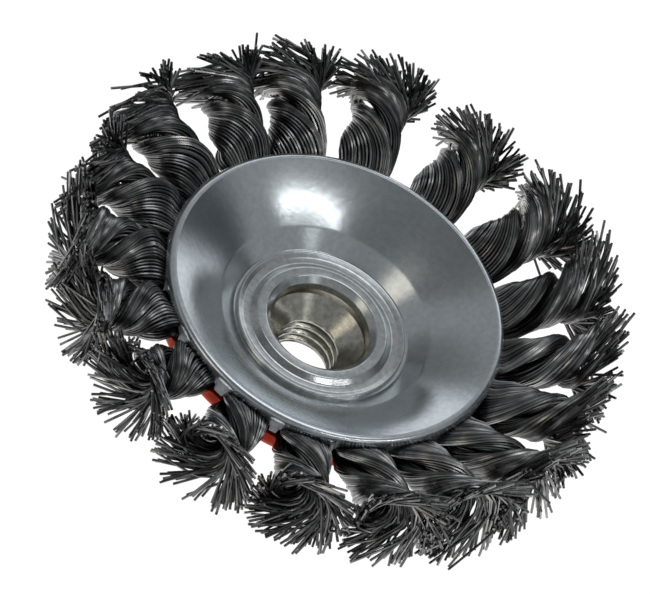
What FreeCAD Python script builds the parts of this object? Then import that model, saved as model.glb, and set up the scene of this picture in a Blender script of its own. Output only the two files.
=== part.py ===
"""Twist-knot wire bevel brush with an M14 x 2 hub, for an angle grinder.

Lengths are in millimetres and angles in degrees.  +Z is the spindle axis and points out of the working face.
The origin is on that axis at the hub's rear face, which seats on the grinder's spindle.
"""

import FreeCAD
import Part

import os
from math import atan2, cos, degrees, hypot, pi, radians, sin, tan

# Whole brush
BRUSH_D = 115.0  # over the wire tips
KNOTS = 18

# Spindle thread, ISO metric
THREAD_D = 14.0
THREAD_PITCH = 2.0
THREAD_LENGTH = 7.0

# Hub nut, from the rear face forward
RECESS_MARGIN = 1.3  # of the rear recess around the thread
RECESS_DEPTH = 1.5
HEX_ACROSS_FLATS = 22.0
HEX_HEIGHT = 9.0
HEX_CHAMFER = 1.0  # of the corners, along the axis
HEX_CHAMFER_REACH = 2.0  # of the chamfer's cone beyond the flats
FLANGE_REACH = 4.0  # beyond the barrel
FLANGE_HEIGHT = 2.4
FLANGE_ROUNDING = 0.4
BARREL_R = 11.0  # the tube that passes through the plates
BARREL_WALL = 1.3
COUNTERBORE_FLOOR = 0.5  # above the flange's front face

# Collar swaged over the front plate
COLLAR_REACH = 5.5  # beyond the barrel
COLLAR_EDGE = 0.5  # thickness of the spread edge
BEAD_REACH = 1.0  # of the rolled bead's crest beyond the barrel
BEAD_WIDTH = 3.0
BEAD_HEIGHT = 0.95  # above the plate's floor
BEAD_ROUNDING = 0.8
LIP_REACH = 0.5  # of the bead's inner edge into the counterbore
LIP_DEPTH = 2.1  # below the bead's crest
CREASE_ROUNDING = 0.2  # where the collar's surfaces meet

# Pressed plates
SHEET = 1.2
PLATE_R = 33.0  # the front plate's rim
BACK_OVERHANG = 0.2  # of the back plate's rim beyond the front plate's
BORE_CLEARANCE = 0.05  # between the barrel and what it passes through
DISH_DEPTH = 10.5  # from the front plate's floor up to the sharp corner that its rounded rim is made on
FLOOR_MARGIN = 0.5  # of the floor around the collar
WALL_WIDTH = 3.4  # of the steep wall, along the radius
WALL_SLOPE = 42.0
FOOT_BEND = 0.8  # inside bend radii
DISH_BEND = 6.8
RIM_BEND = 0.2
SKIRT_DEPTH = 3.2  # below the rim's sharp corner
BACK_FLOOR_MARGIN = 1.8  # of the back plate's floor around the disc's
BACK_SLOPE = 20.0
BACK_BEND = 3.0
BACK_RIM_BEND = 0.8

# Window between the two skirts, where the knots come out
WINDOW = 2.7  # between the skirts, beside a knot
NOTCH_DEPTH = 0.9  # cut into each skirt at a knot
WIRE_CLEARANCE = 0.1  # between the clamped wires and the sheets around them

# Disc that carries the knots
DISC_SHEET = 1.2
DISC_MARGIN = 0.6  # between the disc's edge and the notches
DISC_FLOOR_MARGIN = 2.0  # of the disc's floor around the front plate's
KNOT_HOLE_R = 2.6
KNOT_HOLE_INSET = 4.0  # of the holes' centres from the disc's edge

# Wire knots
KNOT_GAP = 1.7  # between knots where they leave the plates
LEG_TAIL = 0.6  # of the two legs past their hole, toward the hub
ROPE_START = 0.2  # outside the back plate's rim
ROPE_SHOULDER = 0.6  # by which the rope starts narrower than the clamped root
ROPE_WAIST = 2.2  # across the groove between the two strands
NECK_WIDTH = 8.6  # over both strands, at the narrowest place
NECK_AT = 0.45  # of the way from the plates to the tips
TIP_GAP = 4.0  # between the knots' tips
TIP_WAIST = 4.8
FLARE = 1.6  # how late the knot opens: 1 would be a plain cone
TRIM = 1.0  # beyond the brush's diameter, cut off round
ROPE_TURNS = 1.0  # left-handed
ROPE_LEAN = 13.5  # toward the working face
SECTIONS_PER_TURN = 16
POINTS_PER_STRAND = 9

# Radii that follow
RECESS_R = THREAD_D / 2 + RECESS_MARGIN
COUNTERBORE_R = BARREL_R - BARREL_WALL
BEAD_R = BARREL_R + BEAD_REACH
COLLAR_R = BARREL_R + COLLAR_REACH
FLANGE_R = BARREL_R + FLANGE_REACH
PLATE_BORE_R = BARREL_R + BORE_CLEARANCE
FLOOR_R = COLLAR_R + FLOOR_MARGIN
DISC_FLOOR_R = FLOOR_R + DISC_FLOOR_MARGIN
BACK_FLOOR_R = DISC_FLOOR_R + BACK_FLOOR_MARGIN
BACK_PLATE_R = PLATE_R + BACK_OVERHANG
NOTCH_INNER_R = PLATE_R - 2 * SHEET
DISC_R = NOTCH_INNER_R - DISC_MARGIN
KNOT_HOLE_CENTRE_R = DISC_R - KNOT_HOLE_INSET
ROPE_START_R = BACK_PLATE_R + ROPE_START

# Widths that follow, where the knots share the circumference
KNOT_WIDTH = 2 * pi * PLATE_R / KNOTS - KNOT_GAP  # where the knot leaves the plates
TIP_WIDTH = pi * BRUSH_D / KNOTS - TIP_GAP

# Heights that follow, up the stack on the hub's flange
FLANGE_Z = HEX_HEIGHT + FLANGE_HEIGHT
BACK_FLOOR_Z = FLANGE_Z + SHEET  # front surface of the back plate's floor
DISC_FLOOR_Z = BACK_FLOOR_Z + DISC_SHEET
FLOOR_Z = DISC_FLOOR_Z + SHEET  # front surface of the front plate's floor
BEAD_Z = FLOOR_Z + BEAD_HEIGHT
RIM_Z = FLOOR_Z + DISH_DEPTH
SKIRT_Z = RIM_Z - SKIRT_DEPTH
BACK_SKIRT_Z = SKIRT_Z - WINDOW
WINDOW_Z = (SKIRT_Z + BACK_SKIRT_Z) / 2
NOTCH_HALF = WINDOW / 2 + NOTCH_DEPTH

# Angles that follow
KNOT_PITCH = 360.0 / KNOTS
KNOT_ANGLE = 2 * degrees(KNOT_WIDTH / 2 / PLATE_R)
NOTCH_ANGLE = 2 * degrees((KNOT_WIDTH / 2 + WIRE_CLEARANCE) / PLATE_R)

AXIS = FreeCAD.Vector(0, 0, 1)
ORIGIN = FreeCAD.Vector(0, 0, 0)


def outline(corners):
    """Closed wire in the XZ plane through corners (r, z, rounding radius), with tangent arcs as roundings."""
    stretches = []
    count = len(corners)
    for i, (r, z, rounding) in enumerate(corners):
        here = FreeCAD.Vector(r, 0, z)
        before = FreeCAD.Vector(corners[i - 1][0], 0, corners[i - 1][1])
        after = FreeCAD.Vector(corners[(i + 1) % count][0], 0, corners[(i + 1) % count][1])
        if not rounding:
            stretches.append((here, None, here))
            continue
        back = (before - here).normalize()
        ahead = (after - here).normalize()
        half = back.getAngle(ahead) / 2
        tangent = rounding / tan(half)
        middle = (back + ahead).normalize() * (rounding / sin(half) - rounding)
        stretches.append((here + back * tangent, here + middle, here + ahead * tangent))
    edges = []
    for i, (start, middle, end) in enumerate(stretches):
        if middle:
            edges.append(Part.Arc(start, middle, end).toShape())
        following = stretches[(i + 1) % count][0]
        if end.distanceToPoint(following) > 1e-6:
            edges.append(Part.LineSegment(end, following).toShape())
    return Part.Wire(edges)


def lathe(corners, angle=360.0):
    """Solid turned about the Z axis from corners (r, z, rounding); a sector is centred on the X axis."""
    solid = Part.Face(outline(corners)).revolve(ORIGIN, AXIS, angle)
    return solid.rotated(ORIGIN, AXIS, -angle / 2)


def below(surface, thickness):
    """The other side of a sheet whose upper surface runs outward through corners (r, z, rounding)."""
    headings = []
    for (r0, z0, _), (r1, z1, _) in zip(surface, surface[1:]):
        length = hypot(r1 - r0, z1 - z0)
        headings.append(((r1 - r0) / length, (z1 - z0) / length))
    other = []
    for i, (r, z, rounding) in enumerate(surface):
        inward = headings[max(i - 1, 0)]
        outward = headings[min(i, len(headings) - 1)]
        turn = inward[0] * outward[1] - inward[1] * outward[0]
        cosine = inward[0] * outward[0] + inward[1] * outward[1]
        reach = thickness / (1 + cosine)
        shifted = (r + (inward[1] + outward[1]) * reach, z - (inward[0] + outward[0]) * reach)
        if rounding:
            rounding += thickness if turn > 0 else -thickness
        other.append((*shifted, rounding))
    return other


def pressed(surface, thickness):
    """Sheet dish whose upper surface runs outward through corners (r, z, rounding)."""
    return lathe(surface + below(surface, thickness)[::-1])


def around(shape):
    """Copies of a shape at every knot."""
    return [shape.rotated(ORIGIN, AXIS, k * KNOT_PITCH) for k in range(KNOTS)]


def thread_groove(z):
    """Ring with the section of one turn of the internal thread, centred at height z."""
    root_r = THREAD_D / 2
    crest_r = thread_crest_r()
    root = THREAD_PITCH / 8
    mouth = THREAD_PITCH * 3 / 4
    section = [
        (crest_r - 1, z - mouth / 2, 0),
        (crest_r, z - mouth / 2, 0),
        (root_r, z - root / 2, 0),
        (root_r, z + root / 2, 0),
        (crest_r, z + mouth / 2, 0),
        (crest_r - 1, z + mouth / 2, 0),
    ]
    return lathe(section)


def thread_crest_r():
    """Minor radius of the ISO thread: five eighths of the sharp V's height lie below the major radius."""
    sharp_height = THREAD_PITCH / 2 / tan(radians(30))
    return THREAD_D / 2 - sharp_height * 5 / 8


def hub_nut():
    """Hexagon, flange, barrel and swaged collar in one piece, bored and threaded for the spindle."""
    crest_r = thread_crest_r()
    counterbore_z = FLANGE_Z + COUNTERBORE_FLOOR
    lip_z = BEAD_Z - LIP_DEPTH
    body = lathe([
        (crest_r, RECESS_DEPTH, 0),
        (RECESS_R, RECESS_DEPTH, 0),
        (RECESS_R, 0, 0),
        (FLANGE_R, 0, 0),
        (FLANGE_R, FLANGE_Z, FLANGE_ROUNDING),
        (BARREL_R, FLANGE_Z, 0),
        (BARREL_R, FLOOR_Z, 0),
        (COLLAR_R, FLOOR_Z, 0),
        (COLLAR_R, FLOOR_Z + COLLAR_EDGE, CREASE_ROUNDING),
        (BEAD_R + BEAD_WIDTH / 2, FLOOR_Z + COLLAR_EDGE, CREASE_ROUNDING),
        (BEAD_R + BEAD_WIDTH / 4, BEAD_Z, BEAD_ROUNDING),
        (BEAD_R - BEAD_WIDTH / 4, BEAD_Z, BEAD_ROUNDING),
        (COUNTERBORE_R, BEAD_Z - LIP_DEPTH / 2, CREASE_ROUNDING),
        (COUNTERBORE_R - LIP_REACH, lip_z, CREASE_ROUNDING),
        (COUNTERBORE_R, lip_z - LIP_REACH, 0),
        (COUNTERBORE_R, counterbore_z, 0),
        (crest_r, RECESS_DEPTH + THREAD_LENGTH, 0),
    ])
    turns = int(THREAD_LENGTH / THREAD_PITCH)
    grooves = [thread_groove(RECESS_DEPTH + THREAD_PITCH * (turn + 0.5)) for turn in range(turns)]
    return body.cut(grooves).common(hexagon_blank())


def hexagon_blank():
    """Hexagon with its rear corners chamfered, and everything above it left whole."""
    flat_r = HEX_ACROSS_FLATS / 2
    corner_r = flat_r / cos(radians(30))
    corners = [FreeCAD.Vector(corner_r * cos(a * pi / 3), corner_r * sin(a * pi / 3), 0) for a in range(7)]
    hexagon = Part.Face(Part.makePolygon(corners)).extrude(AXIS * HEX_HEIGHT)
    chamfer = lathe([
        (0, 0, 0),
        (flat_r, 0, 0),
        (flat_r + HEX_CHAMFER_REACH, HEX_CHAMFER, 0),
        (flat_r + HEX_CHAMFER_REACH, HEX_HEIGHT, 0),
        (0, HEX_HEIGHT, 0),
    ])
    above = Part.makeCylinder(2 * COLLAR_R, FLOOR_Z, FreeCAD.Vector(0, 0, HEX_HEIGHT))
    return hexagon.common(chamfer).fuse(above)


def front_surface():
    """Corners of the front plate's front surface, from the bore outward and round the rim to the skirt."""
    wall_r = FLOOR_R + WALL_WIDTH
    wall_z = FLOOR_Z + WALL_WIDTH * tan(radians(WALL_SLOPE))
    return [
        (PLATE_BORE_R, FLOOR_Z, 0),
        (FLOOR_R, FLOOR_Z, FOOT_BEND),
        (wall_r, wall_z, DISH_BEND + SHEET),
        (PLATE_R, RIM_Z, RIM_BEND + SHEET),
        (PLATE_R, SKIRT_Z, 0),
    ]


def back_surface():
    """Corners of the back plate's front surface, from the bore outward to the top of its skirt."""
    skirt_r = BACK_PLATE_R - SHEET
    rim_z = BACK_FLOOR_Z + (skirt_r - BACK_FLOOR_R) * tan(radians(BACK_SLOPE))
    return [
        (PLATE_BORE_R, BACK_FLOOR_Z, 0),
        (BACK_FLOOR_R, BACK_FLOOR_Z, BACK_BEND),
        (skirt_r, rim_z, BACK_RIM_BEND),
        (skirt_r, BACK_SKIRT_Z, 0),
    ]


def window(inner_r, outer_r, half_height, angle):
    """Sector of a ring, level with the window between the skirts."""
    return lathe([
        (inner_r, WINDOW_Z - half_height, 0),
        (outer_r, WINDOW_Z - half_height, 0),
        (outer_r, WINDOW_Z + half_height, 0),
        (inner_r, WINDOW_Z + half_height, 0),
    ], angle)


def notches():
    """Openings for the knots through both skirts."""
    return around(window(NOTCH_INNER_R, BACK_PLATE_R + SHEET, NOTCH_HALF, NOTCH_ANGLE))


def front_plate():
    return pressed(front_surface(), SHEET).cut(notches())


def back_plate():
    return pressed(back_surface(), SHEET).cut(notches())


def height_at(surface, r):
    """Height at radius r of a surface given by corners, its roundings left out."""
    for (r0, z0, _), (r1, z1, _) in zip(surface, surface[1:]):
        if r0 <= r <= r1:
            return z0 + (z1 - z0) * (r - r0) / (r1 - r0)
    raise ValueError(f"radius {r} is beyond the surface")


def disc_surface():
    """Corners of the disc's front surface; its edge stands midway between the two plates."""
    roof_z = height_at(below(front_surface(), SHEET), DISC_R)
    floor_z = height_at(back_surface(), DISC_R)
    edge_z = (roof_z + floor_z + DISC_SHEET) / 2
    return [
        (PLATE_BORE_R, DISC_FLOOR_Z, 0),
        (DISC_FLOOR_R, DISC_FLOOR_Z, 0),
        (DISC_R, edge_z, 0),
    ]


def knot_hole(radius):
    """Cylinder square to the disc's cone at a knot's hole."""
    _, (floor_r, floor_z, _), (edge_r, edge_z, _) = disc_surface()
    slope = atan2(edge_z - floor_z, edge_r - floor_r)
    across = FreeCAD.Vector(-sin(slope), 0, cos(slope))
    mouth = FreeCAD.Vector(KNOT_HOLE_CENTRE_R, 0, height_at(disc_surface(), KNOT_HOLE_CENTRE_R))
    return Part.makeCylinder(radius, 3 * DISC_SHEET, mouth - across * (2 * DISC_SHEET), across)


def knot_disc():
    return pressed(disc_surface(), DISC_SHEET).cut(around(knot_hole(KNOT_HOLE_R)))


def disc_room():
    """The disc with the wires' clearance all round it."""
    surface = below(disc_surface(), -WIRE_CLEARANCE)
    (floor_r, floor_z, _), (edge_r, edge_z, _) = surface[-2:]
    outer_r = DISC_R + 2 * WIRE_CLEARANCE
    outer_z = edge_z + (outer_r - edge_r) * (edge_z - floor_z) / (edge_r - floor_r)
    surface[-1] = (outer_r, outer_z, 0)
    return pressed(surface, DISC_SHEET + 2 * WIRE_CLEARANCE)


def cavity():
    """Space between the two plates, less the wires' clearance."""
    roof = below(front_surface(), SHEET + WIRE_CLEARANCE)
    floor = below(back_surface(), -WIRE_CLEARANCE)
    return lathe(floor + roof[::-1])


def knot_root():
    """The hairpin's two legs, flattened against both sides of the disc and joined through its hole."""
    tail_r = KNOT_HOLE_CENTRE_R - KNOT_HOLE_R - LEG_TAIL
    trimmed_r = ROPE_START_R + SHEET
    legs = window(tail_r, PLATE_R, DISH_DEPTH, KNOT_ANGLE).common(cavity())
    neck = window(NOTCH_INNER_R + WIRE_CLEARANCE, trimmed_r, NOTCH_HALF - WIRE_CLEARANCE, KNOT_ANGLE)
    plug = knot_hole(KNOT_HOLE_R - WIRE_CLEARANCE).common(legs)
    inside = Part.makeBox(ROPE_START_R, 2 * KNOT_WIDTH, 2 * RIM_Z, FreeCAD.Vector(0, -KNOT_WIDTH, 0))
    return legs.cut(disc_room()).fuse([neck, plug]).common(inside)


def rope_section(share):
    """Closed outline of the two strands, at a share of the way from the plates to the tips."""
    start_width = KNOT_WIDTH - ROPE_SHOULDER
    if share < NECK_AT:
        across = start_width + (NECK_WIDTH - start_width) * share / NECK_AT
    else:
        opened = (share - NECK_AT) / (1 - NECK_AT)
        across = NECK_WIDTH + (TIP_WIDTH - NECK_WIDTH) * opened ** FLARE
    waist = ROPE_WAIST + (TIP_WAIST - ROPE_WAIST) * share
    mean = (across + waist) / 4
    swing = (across - waist) / 4
    centre = rope_centre(share)
    turn = -2 * pi * ROPE_TURNS * share
    along = FreeCAD.Vector(0, cos(turn), sin(turn))
    over = FreeCAD.Vector(0, -sin(turn), cos(turn))
    strands = []
    for side in (1, -1):
        points = []
        for i in range(POINTS_PER_STRAND):
            angle = pi * i / (POINTS_PER_STRAND - 1)
            reach = (mean + swing * cos(2 * angle)) * side
            points.append(centre + along * (reach * cos(angle)) + over * (reach * sin(angle)))
        strand = Part.BSplineCurve()
        strand.interpolate(Points=points, InitialTangent=over * side, FinalTangent=over * -side)
        strands.append(strand.toShape())
    return Part.Wire(strands)


def rope_centre(share):
    """Centre of the rope's section, at a share of the way from the plates to just past the tips."""
    outward = (BRUSH_D / 2 + TRIM - ROPE_START_R) * share
    return FreeCAD.Vector(ROPE_START_R + outward, 0, WINDOW_Z + outward * tan(radians(ROPE_LEAN)))


def wire_knot():
    """One knot: the clamped root and the two-strand rope, trimmed at the brush's diameter."""
    steps = round(SECTIONS_PER_TURN * ROPE_TURNS)
    rope = Part.makeLoft([rope_section(step / steps) for step in range(steps + 1)], True, False)
    envelope = window(ROPE_START_R - SHEET, BRUSH_D / 2, BRUSH_D / 2, 4 * KNOT_PITCH)
    return knot_root().fuse(rope.common(envelope)).removeSplitter()


def save(name, shape):
    solids = shape.Solids
    if len(solids) != 1 or not solids[0].isValid():
        raise ValueError(f"{name} is not one valid solid: {len(solids)}")
    solids[0].exportStep(f"parts/{name}.step")
    print(f"{name:16} {solids[0].Volume:10.1f} mm3")


def main():
    os.makedirs("parts", exist_ok=True)
    save("hub_nut", hub_nut())
    save("front_plate", front_plate())
    save("back_plate", back_plate())
    save("knot_disc", knot_disc())
    for number, knot in enumerate(around(wire_knot()), start=1):
        save(f"wire_knot_{number:02}", knot)


main()
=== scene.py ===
"""Looks of the twist-knot wire bevel brush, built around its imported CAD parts.

Sizes in millimetres are turned into metres where meshes are made.  +Z points out of the working face.
"""

from math import atan2, cos, hypot, pi, radians, sin, tan

import bmesh
import bpy
import numpy as np
from mathutils import Matrix, Vector


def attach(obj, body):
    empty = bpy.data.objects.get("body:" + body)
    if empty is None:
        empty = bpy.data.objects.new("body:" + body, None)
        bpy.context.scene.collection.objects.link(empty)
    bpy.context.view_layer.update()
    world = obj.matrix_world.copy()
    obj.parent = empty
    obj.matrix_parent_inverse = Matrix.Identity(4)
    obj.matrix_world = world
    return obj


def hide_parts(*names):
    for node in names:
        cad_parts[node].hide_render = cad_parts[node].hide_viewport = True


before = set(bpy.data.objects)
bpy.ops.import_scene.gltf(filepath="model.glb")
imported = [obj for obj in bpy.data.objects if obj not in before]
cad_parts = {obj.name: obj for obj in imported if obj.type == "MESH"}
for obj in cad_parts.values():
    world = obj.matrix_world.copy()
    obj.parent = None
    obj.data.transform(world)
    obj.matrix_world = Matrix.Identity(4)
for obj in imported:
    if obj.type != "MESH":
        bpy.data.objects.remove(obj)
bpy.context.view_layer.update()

MM = 0.001
TURN = 2 * pi
SEED = 11

# Knots, evenly pitched, each a little off its place
KNOTS = 18
TURN_STEP = 360.0 / KNOTS
BASE_OFFSETS = (-3, -4, -5, -4, -1, 3, 4, 3, 3, 2, 1, 0, 1, 3, 4, 3, 1, -1)  # degrees, at the plates
TIP_SWAYS = (6, 5, 6, 2, 1, 0, 0, -3, 0, 0, 0, -1, -1, 0, 1, 3, 4, 5)  # degrees more, at the tips
TIP_REACHES = (2, 1.5, 0.5, 0, 0, 0, -0.5, -0.5, 0, 1.5, 1.5, 1.5, 1.5, 1, 0.5, 1, 2, 2.5)  # mm more
WINDOW_Z = 20.95  # height of the window between the skirts
LEAN = 0.25  # rise for each millimetre outward

# Wires
WIRE_R = 0.26
RINGS = ((34, 0.89, 0.94), (26, 0.64, 0.8), (15, 0.39, 0.65), (6, 0.14, 0.4))  # count, across, along
STRAND_SECTION = (2.0, 3.6)  # for spacing the wires evenly round each ring
SPACING_SAMPLES = 400
WIRE_SIDES = 6
START_R = 30.3
EXIT_R = 33.4  # from the plates
OPENING_R = 41.5  # where the hole in the middle starts
RELEASE_R = 47.6  # where the wires part from the rope
TRIM_R = 55.4
FREE_LENGTH = 9.6
ROPE_STATIONS = 22
FREE_STATIONS = 7
SECTION_R = (30.0, 33.4, 36.0, 40.0, 45.0, 50.0)
HALF_THICKNESS = (1.0, 1.2, 2.05, 2.5, 2.3, 2.3)  # of one strand
HALF_WIDTH = (4.6, 5.0, 5.2, 4.8, 4.2, 4.0)
HOLE_R = 3.3  # that the freed wires leave in the middle
HOLE_GROWTH = 1.5
SWAY_GROWTH = 1.2
START_RATE = 0.10  # twist, radians for each millimetre
RELEASE_RATE = 0.52
RATE_GROWTH = 1.7
HEADING_STEP = 0.05  # back from the release, to find a wire's heading there
PHASE = 95.0  # degrees between the strands' plane and the plates', where the rope leaves them
WANDER = 0.05  # of a wire about its place in the rope
WANDER_RATES = (0.9, 0.8)
ALONG_GAIN = 1.1  # of a freed wire's heading along its strand's drift
CURL = 0.25  # radians the freed wires turn back by in their first step, and half as much in each next one
STRAY_SHARE = 0.04
LEAST_OUTWARD = 0.3  # of a freed wire's heading
# Spreads of the random differences
PLACE_SPREAD = (0.035, 0.018)
PHASE_SPREAD = 9.0
LEAN_SPREAD = 0.03
RELEASE_SPREADS = (0.5, 1.0)  # knot by knot, wire by wire
HEADING_SPREAD = 0.06
STRAY_SPREAD = 0.22
LENGTH_SPREAD = 0.6
TRIM_SPREAD = 0.5


ARC_STEP = 9.0  # degrees
LEAST_ARC_STEPS = 6


def rounded(corners):
    """Points along corners (r, z, rounding), with an arc point for every few degrees of bend."""
    points = []
    last = len(corners) - 1
    for i, (r, z, rounding) in enumerate(corners):
        if not rounding or i in (0, last):
            points.append((r, z))
            continue
        here = np.array((r, z))
        back = np.array(corners[i - 1][:2]) - here
        ahead = np.array(corners[i + 1][:2]) - here
        back, ahead = back / np.linalg.norm(back), ahead / np.linalg.norm(ahead)
        half = np.arccos(np.clip(back @ ahead, -1, 1)) / 2
        centre = here + (back + ahead) / np.linalg.norm(back + ahead) * rounding / sin(half)
        start = here + back * rounding / tan(half) - centre
        end = here + ahead * rounding / tan(half) - centre
        turn = atan2(start[0] * end[1] - start[1] * end[0], start @ end)
        steps = max(LEAST_ARC_STEPS, round(abs(np.degrees(turn)) / ARC_STEP))
        for k in range(steps + 1):
            a = turn * k / steps
            points.append((
                centre[0] + start[0] * cos(a) - start[1] * sin(a),
                centre[1] + start[0] * sin(a) + start[1] * cos(a),
            ))
    return points


def below(surface, thickness):
    """The other side of a sheet whose upper surface runs outward through corners (r, z, rounding)."""
    headings = []
    for (r0, z0, _), (r1, z1, _) in zip(surface, surface[1:]):
        length = hypot(r1 - r0, z1 - z0)
        headings.append(((r1 - r0) / length, (z1 - z0) / length))
    other = []
    for i, (r, z, rounding) in enumerate(surface):
        inward, outward = headings[max(i - 1, 0)], headings[min(i, len(headings) - 1)]
        turn = inward[0] * outward[1] - inward[1] * outward[0]
        reach = thickness / (1 + inward[0] * outward[0] + inward[1] * outward[1])
        if rounding:
            rounding += thickness if turn > 0 else -thickness
        other.append((r + (inward[1] + outward[1]) * reach, z - (inward[0] + outward[0]) * reach, rounding))
    return other


def make_piece(name, vertices, faces, node, slot, material, sharp=None):
    """Mesh object from vertices in millimetres, riding on the frame in a CAD node's place."""
    mesh = bpy.data.meshes.new(name)
    mesh.from_pydata((np.asarray(vertices) * MM).tolist(), [], faces)
    mesh.polygons.foreach_set("use_smooth", [True] * len(mesh.polygons))
    if sharp:
        work = bmesh.new()
        work.from_mesh(mesh)
        bmesh.ops.recalc_face_normals(work, faces=work.faces)
        for edge in work.edges:
            edge.smooth = len(edge.link_faces) < 2 or edge.calc_face_angle(0) < radians(sharp)
        work.to_mesh(mesh)
        work.free()
    piece = bpy.data.objects.new(name, mesh)
    bpy.context.collection.objects.link(piece)
    mesh.materials.append(material)
    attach(piece, "root")
    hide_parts(node)
    return piece


def turned(rings):
    """Vertices and faces of a closed ring of sections; rings has shape (stations, segments, 3)."""
    rings = np.asarray(rings)
    stations, segments = rings.shape[:2]
    faces = []
    for i in range(stations):
        ahead = (i + 1) % stations
        for j in range(segments):
            k = (j + 1) % segments
            faces.append((i * segments + j, i * segments + k, ahead * segments + k, ahead * segments + j))
    return rings.reshape(-1, 3), faces


# ---------------------------------------------------------------- materials

SPANGLE_SCALE = 900  # noise scales, for each metre
CLOUD_SCALE = 60
MOTTLE_SCALE = 300
WIRE_TONE_SCALE = 220


def new_material(name, metallic, roughness, colour):
    material = bpy.data.materials.new(name)
    material.use_nodes = True
    nodes = material.node_tree.nodes
    shader = nodes["Principled BSDF"]
    shader.inputs["Metallic"].default_value = metallic
    shader.inputs["Roughness"].default_value = roughness
    shader.inputs["Base Color"].default_value = (*colour, 1)
    return material, nodes, material.node_tree.links, shader


def noise(nodes, links, scale, detail=2.0, roughness=0.5):
    """Noise over the piece's own coordinates."""
    place = nodes.new("ShaderNodeTexCoord")
    texture = nodes.new("ShaderNodeTexNoise")
    texture.inputs["Scale"].default_value = scale
    texture.inputs["Detail"].default_value = detail
    texture.inputs["Roughness"].default_value = roughness
    links.new(place.outputs["Object"], texture.inputs["Vector"])
    return texture.outputs["Fac"]


def ramp(nodes, links, value, stops):
    node = nodes.new("ShaderNodeValToRGB")
    elements = node.color_ramp.elements
    while len(elements) < len(stops):
        elements.new(0.5)
    for element, (place, colour) in zip(elements, stops):
        element.position = place
        element.color = (*colour, 1) if hasattr(colour, "__len__") else (colour, colour, colour, 1)
    links.new(value, node.inputs["Fac"])
    return node.outputs["Color"]


def bump(nodes, links, value, shader, strength, distance):
    node = nodes.new("ShaderNodeBump")
    node.inputs["Strength"].default_value = strength
    node.inputs["Distance"].default_value = distance
    links.new(value, node.inputs["Height"])
    links.new(node.outputs["Normal"], shader.inputs["Normal"])


def zinc(name, light=(0.50, 0.53, 0.55), dark=(0.45, 0.48, 0.50), roughness=0.17):
    """Bright zinc plate with a fine, cloudy spangle."""
    material, nodes, links, shader = new_material(name, 0.9, roughness, light)
    spangle = noise(nodes, links, SPANGLE_SCALE, 3, 0.6)
    links.new(ramp(nodes, links, spangle, ((0.36, dark), (0.62, light))), shader.inputs["Base Color"])
    cloud = noise(nodes, links, CLOUD_SCALE)
    spread = ramp(nodes, links, cloud, ((0.3, roughness - 0.04), (0.7, roughness + 0.06)))
    links.new(spread, shader.inputs["Roughness"])
    bump(nodes, links, spangle, shader, 0.03, 0.0004)
    return material


def painted(name, colour):
    material, nodes, links, shader = new_material(name, 0.0, 0.4, colour)
    shader.inputs["Specular IOR Level"].default_value = 0.1
    mottle = noise(nodes, links, MOTTLE_SCALE, 3, 0.6)
    darker = tuple(c * 0.7 for c in colour)
    links.new(ramp(nodes, links, mottle, ((0.3, darker), (0.6, colour))), shader.inputs["Base Color"])
    return material


def steel_wire(name, shade, roughness):
    """Drawn steel wire of one shade; a knot's wires are shared out among several."""
    material, nodes, links, shader = new_material(name, 1.0, roughness, (shade,) * 3)
    tone = noise(nodes, links, WIRE_TONE_SCALE, 3, 0.6)
    stops = ((0.3, shade * 0.6), (0.5, shade), (0.7, (shade * 1.7, shade * 1.66, shade * 1.6)))
    links.new(ramp(nodes, links, tone, stops), shader.inputs["Base Color"])
    return material


ZINC = zinc("zinc_plate")
HUB_STEEL = zinc("hub_steel", (0.46, 0.48, 0.485), (0.38, 0.395, 0.40), 0.18)
BORE_STEEL = zinc("bore_steel", (0.46, 0.45, 0.40), (0.32, 0.31, 0.27), 0.2)
PAINT = painted("orange_red_paint", (0.44, 0.026, 0.004))
WIRE_LOOKS = ((0.09, 0.3), (0.17, 0.26), (0.28, 0.25))  # shade, roughness
WIRE_SHARES = (0.4, 0.4, 0.2)
WIRES = [steel_wire(f"drawn_wire_{i}", *look) for i, look in enumerate(WIRE_LOOKS)]
DISC = zinc("disc_steel", roughness=0.4)
# Darker zinc for the lower skirt. Its darker colour is painted shade between the knots, since the skirt is
# the same zinc as the plate. Its higher roughness is a duller finish.
DULL_ZINC_PAINTED_SHADE = zinc("dull_zinc_painted_shade", (0.22, 0.235, 0.245), (0.15, 0.16, 0.17), 0.45)

# ---------------------------------------------------------------- plates

BARREL_R = 11.05
SHEET = 1.2
RIM_R = 33.0
FRONT_SURFACE = (
    (BARREL_R, 15.0, 0),
    (17.0, 15.0, 0.8),
    (20.4, 18.06, 6.0),
    (26.43, 22.24, 75.0),
    (RIM_R, 25.5, 1.4),
    (RIM_R, 22.3, 0),
)
BACK_SURFACE = ((BARREL_R, 12.6, 0), (20.8, 12.6, 3.0), (32.0, 16.68, 1.6), (32.0, 19.6, 0))
SKIRT_R = 31.0  # beyond which a plate is bent into its skirt
# Below this height the skirt faces take the darker zinc, which is painted shade
PAINTED_SHADE_BELOW_Z = 23.4
PLATE_SEGMENTS = 1080
MOUTH_HALF_WIDTH = 5.2
MOUTH_HALF_HEIGHT = 2.35
TAB_SLOPE = 2.2  # how fast a tab's inward tuck fades into the mouth beside it


def base_angles():
    return np.radians([TURN_STEP * k + offset for k, offset in enumerate(BASE_OFFSETS)])


def mouth(angles):
    """How high the knots' mouths reach above the window's middle, round the plates."""
    turn = angles[:, None] - base_angles()[None, :]
    away = np.abs((turn + pi) % TURN - pi).min(axis=1) * RIM_R / MOUTH_HALF_WIDTH
    return MOUTH_HALF_HEIGHT * np.sqrt(np.clip(1 - away ** 2, 0, 1))


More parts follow.
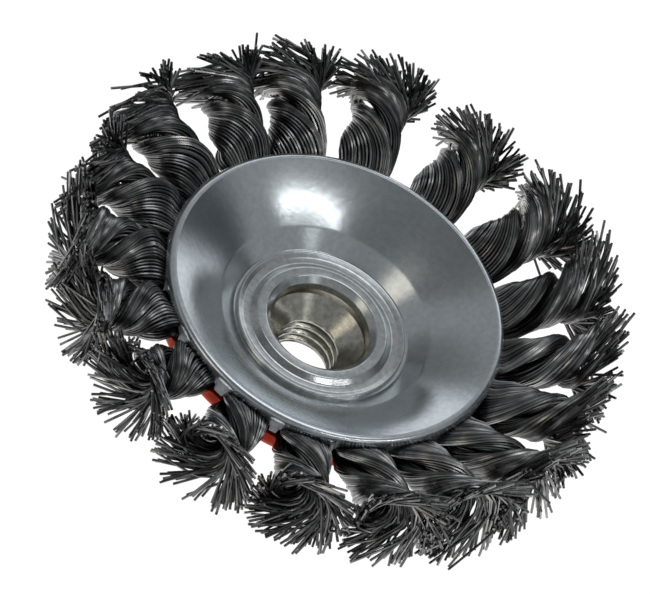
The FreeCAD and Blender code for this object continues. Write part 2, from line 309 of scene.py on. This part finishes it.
def plate(name, surface, node, material, start_z, edge_z, side, tuck):
    """Pressed plate whose skirt, from start_z, is crimped to edge_z and tucked in between the knots."""
    section = rounded(surface) + rounded(below(surface, SHEET))[::-1]
    angles = np.linspace(0, TURN, PLATE_SEGMENTS, endpoint=False)
    reach = mouth(angles)
    least = np.where(reach > 0, reach, -MOUTH_HALF_HEIGHT)
    edge = WINDOW_Z + side * np.maximum(side * (edge_z - WINDOW_Z), least)
    tab = np.clip(1 - reach / MOUTH_HALF_HEIGHT * TAB_SLOPE, 0, 1)
    rings = []
    for r, z in section:
        zs = np.full_like(angles, z)
        rs = np.full_like(angles, r)
        if r > SKIRT_R and side * (start_z - z) > 0:
            share = (start_z - z) / (start_z - surface[-1][1])
            zs = start_z + (edge - start_z) * share
            rs = r - tuck * tab * share ** 2
        rings.append(np.stack((rs * np.cos(angles), rs * np.sin(angles), zs), axis=1))
    return make_piece(name, *turned(rings), node, node, material, sharp=35)


front = plate(
    "front_plate_crimped", FRONT_SURFACE, "front_plate", ZINC, start_z=23.9, edge_z=20.0, side=1, tuck=0.25
)
front.data.materials.append(DULL_ZINC_PAINTED_SHADE)
# Lower skirt faces get the darker zinc: painted shade
for face in front.data.polygons:
    on_skirt = hypot(face.center.x, face.center.y) > SKIRT_R * MM
    face.material_index = int(on_skirt and face.center.z < PAINTED_SHADE_BELOW_Z * MM)
plate("back_plate_crimped", BACK_SURFACE, "back_plate", PAINT, start_z=17.8, edge_z=19.2, side=-1, tuck=0.3)

# ---------------------------------------------------------------- hub

HUB_SEGMENTS = 192
THREAD_CREST_R = 5.9175
THREAD_ROOT_R = 7.0
THREAD_PITCH = 2.0
THREAD_START = 1.5
THREAD_END = 8.5
RUN_OUT = 0.4
STATIONS_PER_PITCH = 20
THREAD_ROOT_SHARE = 0.125  # of the pitch
THREAD_CREST_SHARE = 0.25
HEX_HALF = 11.0
HEX_TOP = 9.0
BARE_EDGE = 0.02  # left under the hexagon's chamfer
RECESS_R = 8.3
BORE_FINISH_R = 9.75


def hex_radius(angles):
    return HEX_HALF / np.cos(angles % (pi / 3) - pi / 6)


def thread_radius(z, angles):
    """Right-hand internal thread with flat roots and crests, fading out at both ends."""
    place = np.abs(((z - THREAD_START) / THREAD_PITCH - angles / TURN) % 1 - 0.5) * 2  # 0 mid-groove
    crest = 1 - THREAD_CREST_SHARE
    depth = np.clip((crest - place) / (crest - THREAD_ROOT_SHARE), 0, 1)
    fade = np.clip(min(z - THREAD_START, THREAD_END - z) / RUN_OUT, 0, 1)
    return THREAD_CREST_R + (THREAD_ROOT_R - THREAD_CREST_R) * depth * fade


def hub():
    front = rounded((
        (9.7, 11.9, 0),
        (9.7, 13.35, 0),
        (9.2, 13.85, 0.2),
        (9.7, 14.9, 0.2),
        (10.8, 16.0, 0.6),
        (12.6, 16.1, 0.9),
        (13.9, 15.2, 1.0),
        (15.2, 15.3, 1.2),
        (16.2, 15.7, 0.3),
        (16.5, 15.4, 0.1),
        (16.5, 15.0, 0),
    ))
    flange = rounded(((11.0, 15.0, 0), (11.0, 11.4, 0), (15.0, 11.4, 0.4), (15.0, HEX_TOP, 0)))
    angles = np.linspace(0, TURN, HUB_SEGMENTS, endpoint=False)
    wide = np.ones_like(angles)
    around_hex = hex_radius(angles)
    stations = [(r * wide, z * wide) for r, z in front + flange]
    stations += [(around_hex, HEX_TOP * wide), (around_hex, (around_hex - HEX_HALF) / 2 + BARE_EDGE)]
    rear = ((HEX_HALF - BARE_EDGE, 0.0), (RECESS_R, 0.0), (RECESS_R, THREAD_START))
    stations += [(r * wide, z * wide) for r, z in rear]
    count = round((THREAD_END - THREAD_START) / THREAD_PITCH * STATIONS_PER_PITCH)
    for i in range(count + 1):
        z = THREAD_START + (THREAD_END - THREAD_START) * i / count
        stations.append((thread_radius(z, angles), z * wide))
    rings = [np.stack((r * np.cos(angles), r * np.sin(angles), z), axis=1) for r, z in stations]
    piece = make_piece("hub_threaded", *turned(rings), "hub_nut", "hub_nut", HUB_STEEL, sharp=30)
    piece.data.materials.append(BORE_STEEL)
    for face in piece.data.polygons:
        inside = hypot(face.center.x, face.center.y) < BORE_FINISH_R * MM
        face.material_index = int(inside and face.center.z > THREAD_START * MM)


hub()

# ---------------------------------------------------------------- wire knots


def strand_places():
    """Places of one strand's wires in its section, in rings, each between -1 and 1."""
    places = []
    for count, across, along in RINGS:
        fine = np.linspace(0, TURN, SPACING_SAMPLES)
        x = across * STRAND_SECTION[0] * np.cos(fine)
        y = along * STRAND_SECTION[1] * np.sin(fine)
        length = np.concatenate(([0], np.cumsum(np.hypot(np.diff(x), np.diff(y)))))
        at = np.interp(np.linspace(0, length[-1], count, endpoint=False), length, fine)
        places += list(zip(across * np.cos(at), along * np.sin(at)))
    return np.array(places)


def twist(r):
    """Angle turned by the rope between the plates and radius r."""
    length = RELEASE_R - EXIT_R
    share = np.clip((r - EXIT_R) / length, 0, None)
    power = RATE_GROWTH + 1
    return length * (START_RATE * share + (RELEASE_RATE - START_RATE) * share ** power / power)


def knot_lines(rng, sway, reach_more):
    """Centre lines of a knot's wires, with the knot on +X: shape (wires, stations, 3)."""
    places = strand_places()
    places = np.concatenate((places, places))
    side = np.repeat((1, -1), len(places) // 2)
    wires = len(places)
    u = places[:, 0] + rng.normal(0, PLACE_SPREAD[0], wires)
    v = places[:, 1] + rng.normal(0, PLACE_SPREAD[1], wires)
    phase = radians(PHASE) + rng.normal(0, radians(PHASE_SPREAD))
    lean = LEAN + rng.normal(0, LEAN_SPREAD)
    release = RELEASE_R + rng.normal(0, RELEASE_SPREADS[0]) + rng.normal(0, RELEASE_SPREADS[1], wires)
    wander_phase = rng.uniform(0, TURN, (2, wires))
    wander = WANDER * rng.random(wires)

    def point(r):
        """Every wire's place at its own radius r, shape (wires, 3)."""
        thick = np.interp(r, SECTION_R, HALF_THICKNESS)
        wide = np.interp(r, SECTION_R, HALF_WIDTH)
        a = thick * (1 + u) * side + wander * np.sin(r * WANDER_RATES[0] + wander_phase[0])
        b = wide * v * side + wander * np.sin(r * WANDER_RATES[1] + wander_phase[1])
        hole = HOLE_R * np.clip((r - OPENING_R) / (RELEASE_R - OPENING_R), 0, None) ** HOLE_GROWTH
        reach = np.hypot(a, b)
        wider = np.hypot(reach, hole) / reach
        a, b = a * wider, b * wider
        angle = phase - twist(r)
        outside = np.clip((r - EXIT_R) / (TRIM_R - EXIT_R), 0, None)
        y = a * np.cos(angle) - b * np.sin(angle) + sway * outside ** SWAY_GROWTH
        z = a * np.sin(angle) + b * np.cos(angle) + WINDOW_Z + (r - EXIT_R) * lean
        return np.stack((r, y, z), axis=1)

    lines = [point(START_R + (release - START_R) * share) for share in np.linspace(0, 1, ROPE_STATIONS)]
    here = lines[-1]
    heading = (here - point(release - HEADING_STEP)) / HEADING_STEP
    for strand in (side > 0, side < 0):
        drift = heading[strand][:, 1:].mean(axis=0)
        onward = drift / np.linalg.norm(drift)
        own = heading[strand][:, 1:] - drift
        along = (own @ onward)[:, None] * onward
        heading[strand, 1:] = drift + ALONG_GAIN * along + (own - along)
    heading = heading / np.linalg.norm(heading, axis=1, keepdims=True)
    stray = rng.random((wires, 1)) < STRAY_SHARE
    heading = heading + rng.normal(0, HEADING_SPREAD, (wires, 3))
    heading = heading + stray * rng.normal(0, STRAY_SPREAD, (wires, 3))
    heading = heading / np.linalg.norm(heading, axis=1, keepdims=True)
    heading[:, 0] = np.maximum(heading[:, 0], LEAST_OUTWARD)
    longest = FREE_LENGTH + reach_more + rng.normal(0, LENGTH_SPREAD, wires)
    trim = TRIM_R + reach_more + rng.normal(0, TRIM_SPREAD, wires)
    length = np.minimum(longest, (trim - release) / heading[:, 0])
    step = (length / FREE_STATIONS)[:, None]
    for k in range(FREE_STATIONS):
        turn = -CURL * 0.5 ** k
        y = heading[:, 1] * np.cos(turn) - heading[:, 2] * np.sin(turn)
        z = heading[:, 1] * np.sin(turn) + heading[:, 2] * np.cos(turn)
        heading = np.stack((heading[:, 0], y, z), axis=1)
        here = here + heading * step
        lines.append(here)
    return np.stack(lines, axis=1)


def tubes(lines, radius, sides):
    """Vertices and faces of capped tubes along lines of shape (tubes, stations, 3)."""
    count, stations = lines.shape[:2]
    tangents = np.gradient(lines, axis=1)
    tangents /= np.linalg.norm(tangents, axis=2, keepdims=True)
    across = np.cross(tangents[:, 0], (0.0, 0.0, 1.0))
    rings = np.empty((count, stations, sides, 3))
    corner = np.linspace(0, TURN, sides, endpoint=False)
    for i in range(stations):
        across = across - tangents[:, i] * np.sum(across * tangents[:, i], axis=1, keepdims=True)
        across /= np.linalg.norm(across, axis=1, keepdims=True)
        over = np.cross(tangents[:, i], across)
        rings[:, i] = lines[:, i, None] + radius * (
            across[:, None] * np.cos(corner)[None, :, None] + over[:, None] * np.sin(corner)[None, :, None]
        )
    faces = []
    for t in range(count):
        for i in range(stations - 1):
            first = (t * stations + i) * sides
            for j in range(sides):
                k = (j + 1) % sides
                faces.append((first + j, first + k, first + sides + k, first + sides + j))
        first = t * stations * sides
        faces.append(tuple(first + j for j in reversed(range(sides))))
        first += (stations - 1) * sides
        faces.append(tuple(first + j for j in range(sides)))
    return rings.reshape(-1, 3), faces


def wire_knots():
    rng = np.random.default_rng(SEED)
    for k, (angle, sway, more) in enumerate(zip(base_angles(), TIP_SWAYS, TIP_REACHES)):
        lines = knot_lines(rng, radians(sway) * TRIM_R, more)
        vertices, faces = tubes(lines, WIRE_R, WIRE_SIDES)
        x, y = vertices[:, 0].copy(), vertices[:, 1].copy()
        vertices[:, 0] = x * cos(angle) - y * sin(angle)
        vertices[:, 1] = x * sin(angle) + y * cos(angle)
        name = f"wire_knot_{k + 1:02}"
        piece = make_piece(f"{name}_wires", vertices, faces, name, "wire", WIRES[0], sharp=50)
        for other in WIRES[1:]:
            piece.data.materials.append(other)
        shade = rng.choice(len(WIRES), len(lines), p=WIRE_SHARES)
        piece.data.polygons.foreach_set("material_index", np.repeat(shade, len(faces) // len(lines)))


wire_knots()

# ---------------------------------------------------------------- CAD nodes' own finish

NODE_FINISH = {"hub_nut": HUB_STEEL, "front_plate": ZINC, "back_plate": PAINT, "knot_disc": DISC}
for node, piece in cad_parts.items():
    material = NODE_FINISH.get(node, WIRES[0])
    piece.data.materials.clear()
    piece.data.materials.append(material)

# ---------------------------------------------------------------- stage, light and camera

RIM_Z = 24.6
ELEVATION = 48.35
ROLL = 30.0
DISTANCE = 2600.0
SENSOR_WIDTH = 36.0
FOCAL_WIDTHS = 21.72  # focal length over the image's width
AIM_RIGHT = -2.31  # of the rim's middle, with AIM_UP
AIM_UP = -0.2

SKY_COLOUR = (0.36, 0.375, 0.385)
SKY_PATCHES = (  # azimuth, elevation, half-width, softness (degrees), colour
    (88, -6, 46, 8, (1.25, 1.29, 1.33)),
    (90, 76, 14, 6, (2.1, 2.16, 2.22)),
    (45, 27, 13, 9, (0.04, 0.05, 0.06)),
    (150, 8, 20, 12, (0.17, 0.18, 0.185)),
    (-100, 72, 18, 10, (0.17, 0.18, 0.18)),
    (-170, 60, 12, 8, (0.14, 0.145, 0.145)),
    (-142, 41, 9, 5, (1.6, 1.5, 1.3)),
    (-35, 38, 5, 4, (1.3, 1.35, 1.35)),
)
SOFTBOX_AT = (-18, 56.5, 2.5)  # azimuth, elevation, metres away
SOFTBOX_SIZE = (1.5, 0.09)  # metres
SOFTBOX_TURN = -27  # degrees, about its own axis
SOFTBOX_POWER = 4.3
FLOOR_SIZE = 6.0  # metres
FLOOR_Z = -0.0005


def floor():
    bpy.ops.mesh.primitive_plane_add(size=FLOOR_SIZE, location=(0, 0, FLOOR_Z))
    plane = bpy.context.object
    plane.name = "floor"
    material, nodes, links, shader = new_material("pale_floor", 0.0, 0.9, (0.08, 0.08, 0.08))
    shader.inputs["Emission Color"].default_value = (1, 1, 1, 1)
    shader.inputs["Emission Strength"].default_value = 1.0
    plane.data.materials.append(material)


def softbox():
    """Long soft light above and behind the brush."""
    azimuth, elevation, distance = SOFTBOX_AT
    light = bpy.data.lights.new("softbox", "AREA")
    light.shape = "RECTANGLE"
    light.size, light.size_y = SOFTBOX_SIZE
    light.energy = SOFTBOX_POWER
    lamp = bpy.data.objects.new("softbox", light)
    bpy.context.collection.objects.link(lamp)
    lamp.location = Vector(toward(azimuth, elevation)) * distance
    aim = (-lamp.location).to_track_quat("-Z", "Y").to_matrix()
    lamp.rotation_euler = (aim @ Matrix.Rotation(radians(SOFTBOX_TURN), 3, "Z")).to_euler()


def toward(azimuth, elevation):
    azimuth, elevation = radians(azimuth), radians(elevation)
    return (cos(elevation) * cos(azimuth), cos(elevation) * sin(azimuth), sin(elevation))


def sky(nodes, links):
    """Colour of the studio by direction: plain grey, with a few soft brighter and darker patches."""
    place = nodes.new("ShaderNodeTexCoord")
    colour = nodes.new("ShaderNodeRGB").outputs[0]
    colour.default_value = (*SKY_COLOUR, 1)
    for azimuth, elevation, spread, edge, tint in SKY_PATCHES:
        dot = nodes.new("ShaderNodeVectorMath")
        dot.operation = "DOT_PRODUCT"
        dot.inputs[1].default_value = toward(azimuth, elevation)
        links.new(place.outputs["Generated"], dot.inputs[0])
        fade = nodes.new("ShaderNodeMapRange")
        fade.interpolation_type = "SMOOTHSTEP"
        fade.inputs["From Min"].default_value = cos(radians(spread + edge))
        fade.inputs["From Max"].default_value = cos(radians(max(spread - edge, 0)))
        links.new(dot.outputs["Value"], fade.inputs["Value"])
        mix = nodes.new("ShaderNodeMix")
        mix.data_type = "RGBA"
        links.new(fade.outputs["Result"], mix.inputs["Factor"])
        links.new(colour, mix.inputs["A"])
        mix.inputs["B"].default_value = (*tint, 1)
        colour = mix.outputs["Result"]
    return colour


def studio():
    """World lit by the sky alone."""
    world = bpy.data.worlds.new("studio")
    bpy.context.scene.world = world
    world.use_nodes = True
    nodes, links = world.node_tree.nodes, world.node_tree.links
    links.new(sky(nodes, links), nodes["Background"].inputs["Color"])


def camera():
    elevation, roll = radians(ELEVATION), radians(ROLL)
    back = Vector((0, -cos(elevation), sin(elevation)))
    level = Vector((1, 0, 0))
    rise = Vector((0, sin(elevation), cos(elevation)))
    right = level * cos(roll) + rise * sin(roll)
    up = rise * cos(roll) - level * sin(roll)
    place = Vector((0, 0, RIM_Z)) + back * DISTANCE + right * AIM_RIGHT + up * AIM_UP
    lens = bpy.data.cameras.new("camera")
    lens.sensor_width = SENSOR_WIDTH
    lens.sensor_fit = "HORIZONTAL"
    lens.lens = SENSOR_WIDTH * FOCAL_WIDTHS
    lens.clip_start = 0.01
    eye = bpy.data.objects.new("camera", lens)
    bpy.context.collection.objects.link(eye)
    eye.matrix_world = Matrix.Translation(place * MM) @ Matrix((right, up, back)).transposed().to_4x4()
    bpy.context.scene.camera = eye


floor()
studio()
softbox()
camera()
bpy.context.scene.view_settings.view_transform = "Standard"
